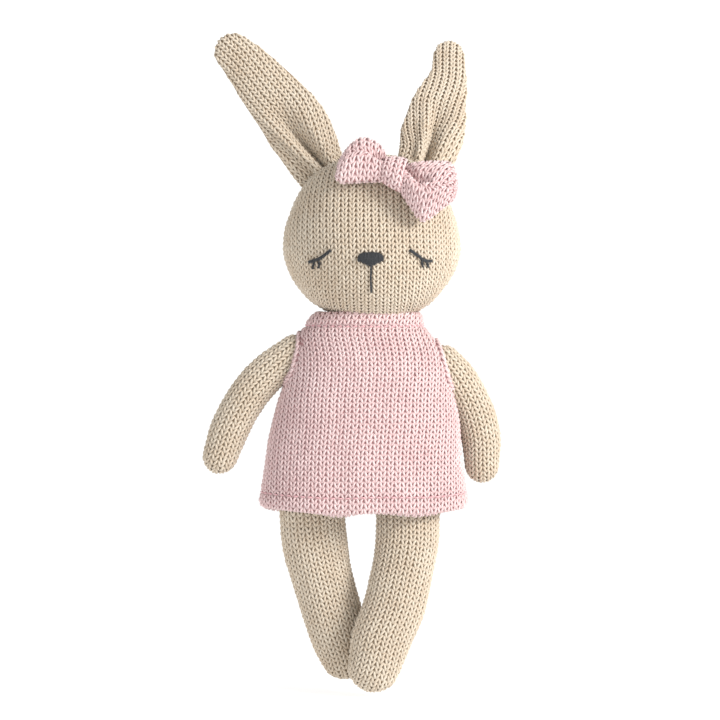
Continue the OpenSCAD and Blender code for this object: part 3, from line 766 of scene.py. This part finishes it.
def dress_folds(grid):
    """Soft folds that grow towards the hem, whose sides stand a little higher than its middle."""
    out = facing(grid)
    low = np.clip((190 - grid[..., 2]) / 90, 0, 1)
    angle = np.arctan2(grid[..., 0] - 5, -grid[..., 1])
    wave = (np.sin(angle * 5 + 0.7) * 0.55 + np.sin(angle * 9 + 2.1) * 0.3) * low ** 1.5
    outside = np.sign(1e-9 + (out * [1, 1, 0] * (grid - [5, 0, 0])).sum(-1))
    moved = grid + out * wave[..., None] * outside[..., None]
    side = np.clip(np.abs(grid[..., 0] - 5) / 55, 0, 1) ** 4
    rise = np.clip((125 - grid[..., 2]) / 25, 0, 1)
    moved[..., 2] += rise * (side * 3.0 + 0.5 * np.sin(angle * 4))
    return moved


armholes = {"left": pivot("left_arm_lift"), "right": pivot("right_arm_lift")}
ARMHOLE_R, ARMHOLE_DROP = 10.0, 7.5


def in_armhole(place, grow=0.0):
    """Whether places on the dress are inside either armhole, an upright slot with round ends."""
    place = np.atleast_2d(place)
    inside = np.zeros(len(place), bool)
    for side, centre in armholes.items():
        rel = place - centre
        drop = np.clip(-rel[:, 2], 0, ARMHOLE_DROP)
        off = np.hypot(rel[:, 1], rel[:, 2] + drop)
        right_side = (place[:, 0] > 10) if side == "left" else (place[:, 0] < 10)
        inside |= (off < ARMHOLE_R + grow) & right_side
    return inside


dress = lumpy(dress_folds(dress_form()), 30, 0.9, 8)
dress_cloth = cloth_mesh("dress_cloth", dress, pink_ground_painted_shade, skip=lambda p: bool(in_armhole(p)[0]))
quarter = (dress.shape[1] - 1) // 4
dress_front = Cloth(dress[:, quarter:-quarter])
dress_rear = Cloth(half_turn(dress)[:, quarter:-quarter])


def clear_of_arm(place):
    """Whether stitches are clear of both armholes."""
    return ~in_armhole(place, 1.0)


dress_pieces = [dress_cloth,
                knit("dress_front_stitches", [dress_front], pink_yarn, 81, sides=5, keep=clear_of_arm),
                knit("dress_back_stitches", [dress_rear], pink_yarn, 82, sides=5, keep=clear_of_arm)]
for piece in dress_pieces:
    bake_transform(piece)
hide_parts("dress_bodice", "dress_skirt", "dress_collar")


# ---- Bow --------------------------------------------------------------------------------

low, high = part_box("bow_band")
bow_centre = np.array((low + high) / 2) / MM
BOW_TILT, BOW_LEAN = math.radians(14), math.radians(24)


def bow_place(x, y, z):
    """From the bow's own frame, x along it, z across it and -y out of it, to the toy's."""
    x, y, z = np.broadcast_arrays(x, y, z)
    along = x * math.cos(BOW_TILT) + z * math.sin(BOW_TILT)
    tall = -x * math.sin(BOW_TILT) + z * math.cos(BOW_TILT)
    c, s = math.cos(BOW_LEAN), math.sin(-BOW_LEAN)
    return np.stack([along, y * c - tall * s, y * s + tall * c], -1) + bow_centre


# Upper and lower outlines of each loop, as [distance from the knot, height]
left_top = [(3, 6.0), (7.4, 7.8), (10.4, 11.6), (16, 14.8), (21.9, 14.8), (26.6, 10.0), (29.4, 2.5), (30.8, -4)]
left_foot_line = [(3, -5.0), (7, -6.2), (15, -8.4), (23, -10.8), (27.2, -11.6), (29.6, -10.6), (30.8, -8)]
right_top = [(3, 5.0), (6, 6.0), (15, 9.0), (22, 11.0), (27.1, 11.6), (30, 8.6), (33, 2), (34, -4.5)]
right_foot_line = [(3, -7.5), (7.3, -11.2), (12, -15.6), (17, -19.8), (20.6, -21.0), (24.2, -18.4), (28.4, -13.4),
                   (31.6, -10.4), (34, -7.5)]


def bow_loop(side, top, foot, end, press):
    """A folded loop of knit: gathered at the knot, wide at its end and pressed in at one place on its front."""
    reach = np.linspace(0.02, 1, 40)
    x = reach * end
    upper, lower = (np.interp(x, *np.array(line).T) for line in (through(top), through(foot)))
    thick = np.interp(reach, [0, 0.15, 0.4, 0.7, 0.86, 0.94, 0.98, 1], [4.2, 5.2, 6.6, 6.6, 5.6, 4.0, 2.2, 0.2])
    turn = np.linspace(-math.pi / 2, math.pi / 2, 41)[:, None]
    z = (upper + lower) / 2 + np.sin(turn) * (upper - lower) / 2
    y = -np.cos(turn) ** 0.8 * thick
    hang = 0.024 * np.clip(-z - 5, 0, None) ** 2
    front = bow_place(side * x, y + hang + press(x + 0 * z, z) * np.cos(turn) ** 0.5, z)
    rear = bow_place(side * x, hang - y * 0.8, z)
    return (front, rear[:, ::-1]) if side > 0 else (front[:, ::-1], rear)


def left_press(x, z):
    """A soft pocket in the upper part of the loop, deepest beside the knot."""
    above = z - (3.4 + (x - 8) * 0.1)
    return 5.4 * np.exp(-(above / np.where(above > 0, 4.2, 1.3)) ** 2) * np.clip((17.5 - x) / 6, 0, 1)


def right_press(x, z):
    """The upper cloth tucks in behind a slanting fold that starts at the knot."""
    above = z - np.where(x < 13.4, 1.1 - 0.79 * (x - 4.2), -6.2 + 0.25 * (x - 13.4))
    pocket = 6.4 * np.exp(-(above / np.where(above > 0, 7.0, 0.9)) ** 2)
    swell = -1.3 * np.exp(-((above + 3.0) / 2.4) ** 2)
    return (pocket + swell) * np.clip((22 - x) / 7, 0, 1)


for side, end, top, foot, press in ((-1, 30.6, left_top, left_foot_line, left_press),
                                    (1, 34.2, right_top, right_foot_line, right_press)):
    name = "left_bow_loop" if side > 0 else "right_bow_loop"
    front, rear = bow_loop(side, top, foot, end, press)
    whole = np.concatenate([front, rear[::-1, ::-1]], axis=0)
    loop = cloth_mesh(name, whole, pink_ground_painted_shade)
    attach(loop, "head")
    laid = knit(name + "_stitches", [Cloth(front), Cloth(rear)], pink_yarn, 90 + side)
    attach(laid, "head")
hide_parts("bow_ribbon")


def knot_band():
    """A narrow band wound once round the gathered middle, a little slanted."""
    width = np.linspace(-1, 1, 15)
    turn = np.linspace(-math.pi, math.pi, 49)[:, None]
    bulge = 1 - 0.14 * np.abs(width) ** 3
    z = np.sin(turn) * (8.3 + 1.5 * width) * (0.4 + 0.6 * bulge) - 0.8 - 0.7 * width
    y = -np.cos(turn) * (7.6 + 0.5 * width) * bulge
    x = width * 6.0 - 0.9 + np.clip(-z - 1, 0, 12) * 0.1 * (width + 1) / 2
    return bow_place(x, y, z)


band = knot_band()
knot = cloth_mesh("bow_knot_band", band, pink_ground_painted_shade)
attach(knot, "head")
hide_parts("bow_band")
half = len(band) // 4
knot_stitches = knit("bow_knot_stitches", [Cloth(band[half:-half])], pink_yarn, 97)
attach(knot_stitches, "head")


# ---- Face -------------------------------------------------------------------------------

skin = BVHTree.FromObject(head_cover, bpy.context.evaluated_depsgraph_get())


def on_face(across, height, lift=KNIT + 0.5):
    """Place on the front of the head, lifted off the ground of the knit by its stitches."""
    hit, out, _, _ = skin.ray_cast(Vector(((HEAD_X + across) * MM, -0.2, height * MM)), Vector((0, 1, 0)))
    if out.y > 0:
        out = -out
    return np.array(hit) / MM + np.array(out) * lift


def wound(line, thick, pitch, count=3):
    """Strands wound round each other along a line, as embroidery cotton is."""
    line = through(line, 16)
    far = np.concatenate([[0], np.cumsum(np.linalg.norm(np.diff(line, axis=0), axis=1))])
    steps = max(8, int(far[-1] / 0.22))
    place = np.stack([np.interp(np.linspace(0, far[-1], steps), far, line[:, k]) for k in range(3)], 1)
    way = unit(np.gradient(place, axis=0))
    side = unit(np.cross(way, [0, 1, 0]))
    off = np.cross(side, way)
    phase = np.linspace(0, far[-1], steps)[:, None] / pitch * 2 * math.pi
    return [place + thick * (np.cos(phase + k * 2 * math.pi / count) * side
                             + np.sin(phase + k * 2 * math.pi / count) * off) for k in range(count)]


# Closed eyelids and the two lashes under each, as places across and up the face
LIDS = {"left": [(19.6, 242.8), (22.1, 241.2), (24.7, 239.3), (26.6, 238.0), (29.1, 237.3), (31.4, 237.5)],
        "right": [(-21.3, 242.7), (-25.1, 239.9), (-27.6, 238.5), (-30.4, 237.6), (-32.9, 236.9)]}
LASHES = {"left": [[(26.1, 238.0), (26.2, 235.8), (27.0, 233.8)], [(28.2, 237.2), (29.1, 235.4), (30.1, 233.8)]],
          "right": [[(-30.0, 237.6), (-30.5, 235.2), (-31.2, 233.1)],
                    [(-27.9, 238.2), (-27.4, 235.9), (-28.1, 233.4)]]}


def embroidered(name, lines, thick, node):
    made = threads(name, lines, thick, black_thread)
    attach(made, "head")
    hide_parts(node)
    return made


for side in ("left", "right"):
    lid = [on_face(x, z) for x, z in LIDS[side]]
    embroidered(side + "_eyelid_thread", wound(lid, 0.42, 7.0), 0.5, side + "_eyelid")
    lashes = [[on_face(x, z, h) for (x, z), h in zip(lash, (KNIT + 0.3, KNIT + 0.4, KNIT - 0.2))]
              for lash in LASHES[side]]
    embroidered(side + "_eyelash_threads", [line for lash in lashes for line in wound(lash, 0.36, 5.0, 2)], 0.42,
                side + "_eyelashes")

NOSE_X, NOSE_Z, NOSE_HALF = -0.7, 237.8, 6.3      # middle and half width of the nose


def nose_stitches():
    """Satin stitches side by side, upright, that fill a broad nose with a blunt point."""
    lines = []
    for k in range(19):
        x = NOSE_HALF * (2 * k / 18 - 1)
        s = abs(x) / NOSE_HALF
        top = NOSE_Z + 3.7 - 0.3 * s - 1.3 * s ** 6 + 0.22 * (k % 2)
        foot = NOSE_Z - 3.8 + 0.5 * abs(x) - 0.2 * s ** 6 + 0.22 * (k % 3) - 0.2
        rise = np.linspace(0, 1, 9)
        lift = KNIT + 0.1 + 1.3 * np.sin(math.pi * np.clip(rise, 0.04, 0.96)) ** 0.5 * (1 - 0.35 * s ** 2)
        lines.append([on_face(NOSE_X + x * (1 - 0.04 * r), foot + (top - foot) * r, h)
                      for r, h in zip(rise, lift)])
    return lines


embroidered("nose_satin_stitches", nose_stitches(), 0.56, "nose_embroidery")
mouth = [on_face(x, z, KNIT + 0.1)
         for x, z in ((-0.5, 235.4), (-0.4, 232), (-0.6, 228.4), (-0.4, 225), (-0.2, 220.6))]
embroidered("mouth_thread", wound(mouth, 0.26, 3.0, 2), 0.36, "mouth_stitch")


# ---- Seams and edges --------------------------------------------------------------------

HEM_LINES = (108.6, 202.0)      # heights at which the turned hem and the turned neck end
RUN_STITCH = 2.6                # length of cloth that one running stitch spans


def hem_stitches():
    """Short running stitches that hold up the hem and the turned neck, where the turned cloth ends."""
    middle = dress_front.grid.shape[1] // 2
    lines = []
    for height in HEM_LINES:
        row = np.argmin(np.abs(dress_front.grid[:, middle, 2] - height)
                        + 40 * (dress_front.out[:, middle, 1] > -0.5))
        up = dress_front.rise[row]
        for panel in (dress_front, dress_rear):
            left, right = panel.edges(up)
            for a in np.arange(-left + 1, right - 2, WALE):
                run = np.linspace(0, RUN_STITCH, 6)
                lift = 1.0 + 0.7 * np.sin(math.pi * run / RUN_STITCH)
                lines.append(panel.at(a + run, np.full(6, up), lift))
    return lines


hem = threads("hem_running_stitches", hem_stitches(), 0.34, rose_thread)
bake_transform(hem)
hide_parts("hem_thread")


def armhole_edge(side):
    """The cut edge of an armhole, rolled over: a soft cord of knit along the opening."""
    centre = armholes[side]
    panel = BVHTree.FromObject(dress_cloth, bpy.context.evaluated_depsgraph_get())
    loop = []
    for a in np.linspace(0, 2 * math.pi, 61):
        y, z = math.sin(a) * ARMHOLE_R, math.cos(a) * ARMHOLE_R
        z += -ARMHOLE_DROP / 2 + math.copysign(ARMHOLE_DROP / 2, z) if abs(z) > 0 else 0
        place = np.array([centre[0], centre[1] + y, centre[2] + z])
        near = panel.find_nearest(Vector(place * MM))[0]
        loop.append(np.array(near) / MM)
    loop = np.array(loop)
    for _ in range(6):
        loop[:-1] = (np.roll(loop[:-1], 1, 0) + 2 * loop[:-1] + np.roll(loop[:-1], -1, 0)) / 4
        loop[-1] = loop[0]
    return loop


def rolled_edge(name, loop, node):
    """Rolled edge as a small tube of cloth with its own stitches."""
    middle = loop[:-1].mean(0)
    turn = np.linspace(-math.pi, math.pi, 13)
    way = unit(np.gradient(loop, axis=0))
    outward = unit(loop - middle)
    rise = unit(np.cross(way, outward))
    grid = loop[:, None] + 1.5 * (np.cos(turn)[None, :, None] * outward[:, None]
                                  + np.sin(turn)[None, :, None] * rise[:, None])
    tube = cloth_mesh(name, grid, pink_ground_painted_shade)
    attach(tube, "torso")
    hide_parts(node)
    laid = knit(name + "_stitches", [Cloth(grid)], pink_yarn, 101)
    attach(laid, "torso")


for side in ("left", "right"):
    rolled_edge(side + "_armhole_rolled_edge", armhole_edge(side), side + "_armhole_edge")

gusset_low, gusset_high = (np.array(c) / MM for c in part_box("seat_gusset"))
gusset_line = [[x, 0, hips[2], r, r] for x, r in zip(
    np.linspace(gusset_low[0] + 0.2, gusset_high[0] - 0.2, 9), [0, 5, 7.2, 8, 8.2, 8, 7.2, 5, 0])]
gusset_grid = form(gusset_line, around=40)
gusset = cloth_mesh("seat_gusset_cover", gusset_grid, beige_ground_painted_shade)
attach(gusset, "hips")
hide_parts("seat_gusset")
laid = knit("seat_gusset_stitches", list(front_and_back(gusset_grid)), beige_yarn, 111)
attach(laid, "hips")

seam_threads = {node: beige_thread for node in (
    "neck_thread", "left_shoulder_seam", "right_shoulder_seam", "left_hip_seam", "right_hip_seam",
    "left_ear_seam", "right_ear_seam")}
seam_threads["bow_tack_thread"] = rose_thread
for node, look in seam_threads.items():
    frame["nodes"][node].data.materials.clear()
    frame["nodes"][node].data.materials.append(look)


# ---- Floor, light and camera ------------------------------------------------------------

def floor_sheet():
    """Seamless pale card all round: flat under the toy, and curving up into a wall far from it."""
    bm = bmesh.new()
    bend = [math.radians(a) for a in range(10, 91, 10)]
    flat, curve, wall = 2.8, 0.8, 1.5
    line = [(0.0, 0.0), (flat, 0.0)]
    line += [(flat + curve * math.sin(a), curve - curve * math.cos(a)) for a in bend]
    line += [(flat + curve, wall)]
    made = [bm.verts.new((r, 0, h)) for r, h in line]
    edges = [bm.edges.new(pair) for pair in zip(made, made[1:])]
    bmesh.ops.spin(bm, geom=made + edges, cent=(0, 0, 0), axis=(0, 0, 1), angle=2 * math.pi, steps=72,
                   use_merge=True)
    bmesh.ops.remove_doubles(bm, verts=bm.verts, dist=1e-5)
    bmesh.ops.recalc_face_normals(bm, faces=bm.faces)
    if sum(f.normal.z for f in bm.faces) < 0:
        bmesh.ops.reverse_faces(bm, faces=bm.faces)
    mesh = bpy.data.meshes.new("floor_card")
    bm.to_mesh(mesh)
    bm.free()
    mesh.shade_smooth()
    return shown("floor_card", mesh, [pale_card])


floor_sheet()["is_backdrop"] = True


def lamp(name, place, aim, size, power, tint):
    data = bpy.data.lights.new(name, "AREA")
    data.shape, data.size, data.energy = "DISK", size, power
    data.color = tint
    made = bpy.data.objects.new(name, data)
    bpy.context.scene.collection.objects.link(made)
    made.visible_camera = False
    made.location = place
    made.rotation_mode = "QUATERNION"
    made.rotation_quaternion = (Vector(aim) - Vector(place)).to_track_quat("-Z", "Y")
    return made


middle = (0.004, 0.0, 0.18)
lamp("key_softbox", (1.1, -0.75, 0.75), middle, 0.55, 21.0, (1.0, 0.985, 0.97))
lamp("fill_softbox", (-1.2, -1.2, 0.5), middle, 1.2, 1.5, (0.97, 0.985, 1.0))
lamp("top_softbox", (0.1, -0.1, 1.4), middle, 0.9, 3.0, (1.0, 1.0, 1.0))

world = bpy.data.worlds.new("studio")
world.use_nodes = True
world.node_tree.nodes["Background"].inputs["Color"].default_value = (1.0, 1.0, 1.0, 1.0)
world.node_tree.nodes["Background"].inputs["Strength"].default_value = 0.28
bpy.context.scene.world = world
bpy.context.scene.view_settings.view_transform = "Standard"

camera_data = bpy.data.cameras.new("camera")
camera_data.lens, camera_data.sensor_width = 135.0, 36.0
camera_data.clip_start, camera_data.clip_end = 0.05, 30.0
camera = bpy.data.objects.new("camera", camera_data)
bpy.context.scene.collection.objects.link(camera)
camera.location = (0.0039, -1.485, 0.1837)
camera.rotation_euler = (math.radians(90), 0, 0)
bpy.context.scene.camera = camera

low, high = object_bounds()
